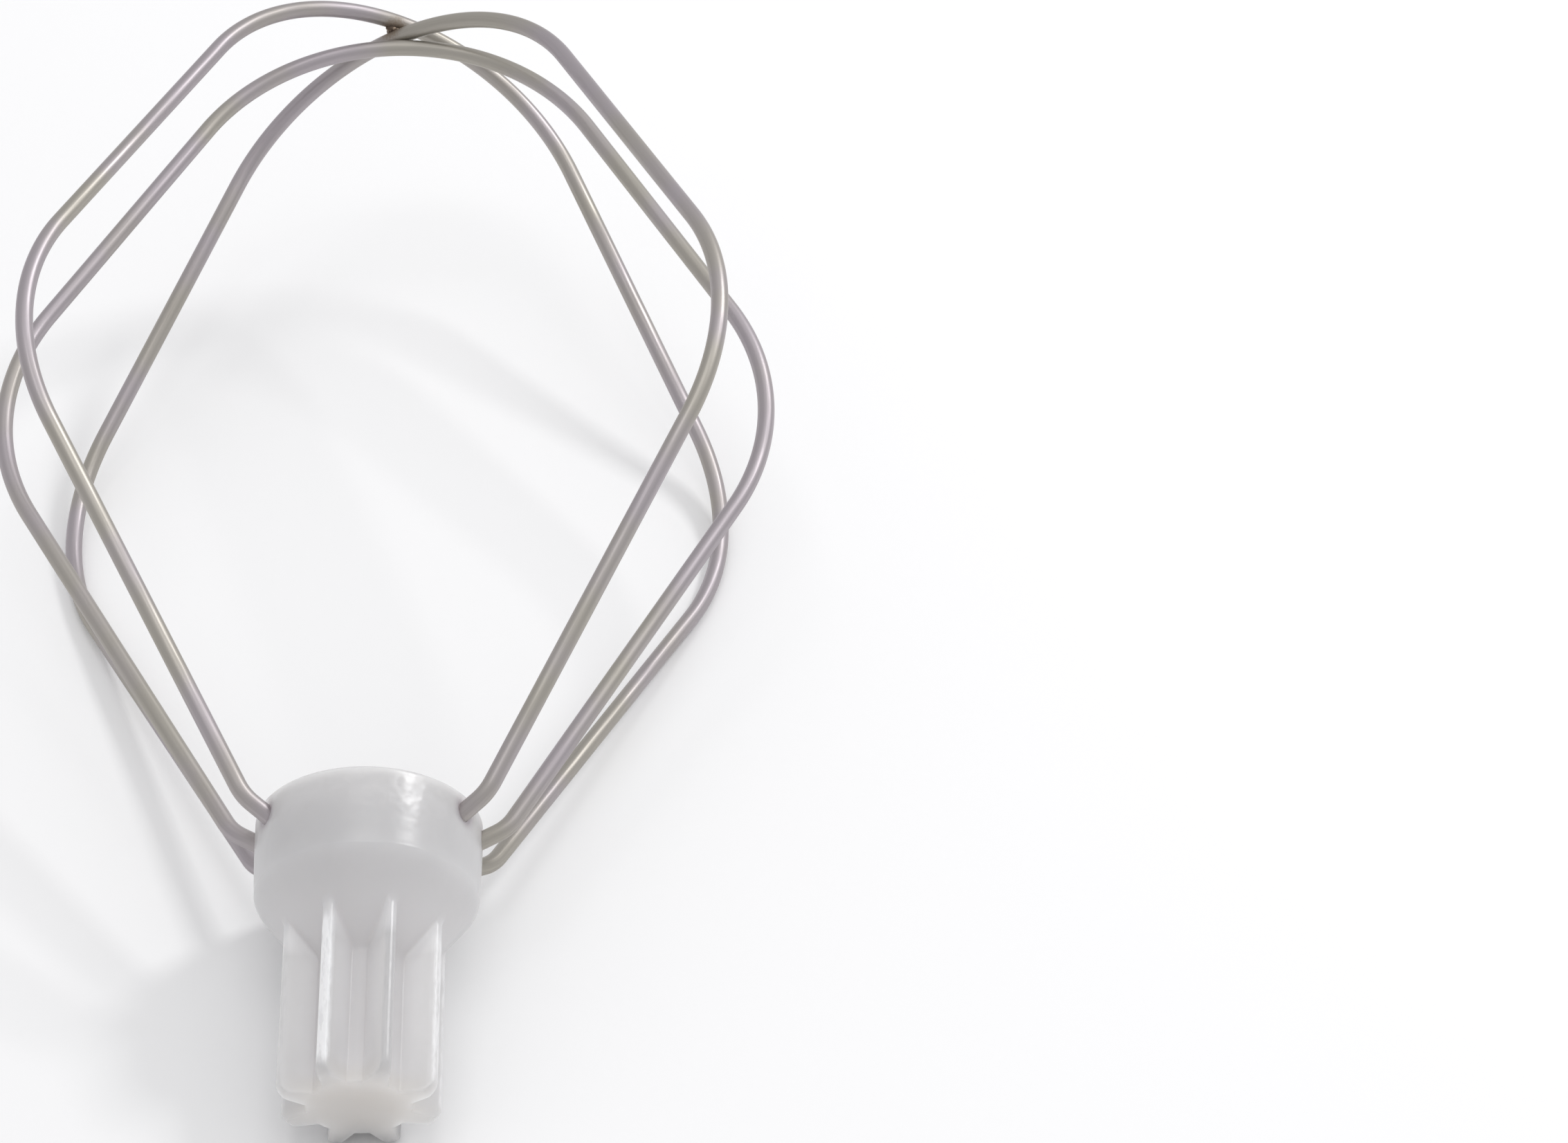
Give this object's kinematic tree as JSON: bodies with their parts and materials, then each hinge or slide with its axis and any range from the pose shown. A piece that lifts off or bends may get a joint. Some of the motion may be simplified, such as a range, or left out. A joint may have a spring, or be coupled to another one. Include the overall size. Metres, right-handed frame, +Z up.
{
  "type": "stand mixer wire whisk",
  "caption": "Wire whisk for a stand mixer: steel wire loops that cross at the crown, their ends set in a moulded plastic hub whose finned shaft plugs into the mixer's drive socket.",
  "frame": {"origin": "on the floor, below the middle of the lying whisk's length", "axes": "+Z up; +Y along the whisk over the floor, from the drive shaft to the crown; the whisk's own axis rises by 9.7 degrees towards the crown, because it lies on two shaft fins and two loops"},
  "size_m": [0.0918, 0.1552, 0.0474],
  "materials": {
    "hub_plastic": "satin moulded",
    "steel_wire": "drawn, satin"
  },
  "bodies": {
    "root": {"hub": "hub_plastic", "outer_loop": "steel_wire", "middle_loop": "steel_wire", "inner_loop": "steel_wire"}
  },
  "joints": []
}
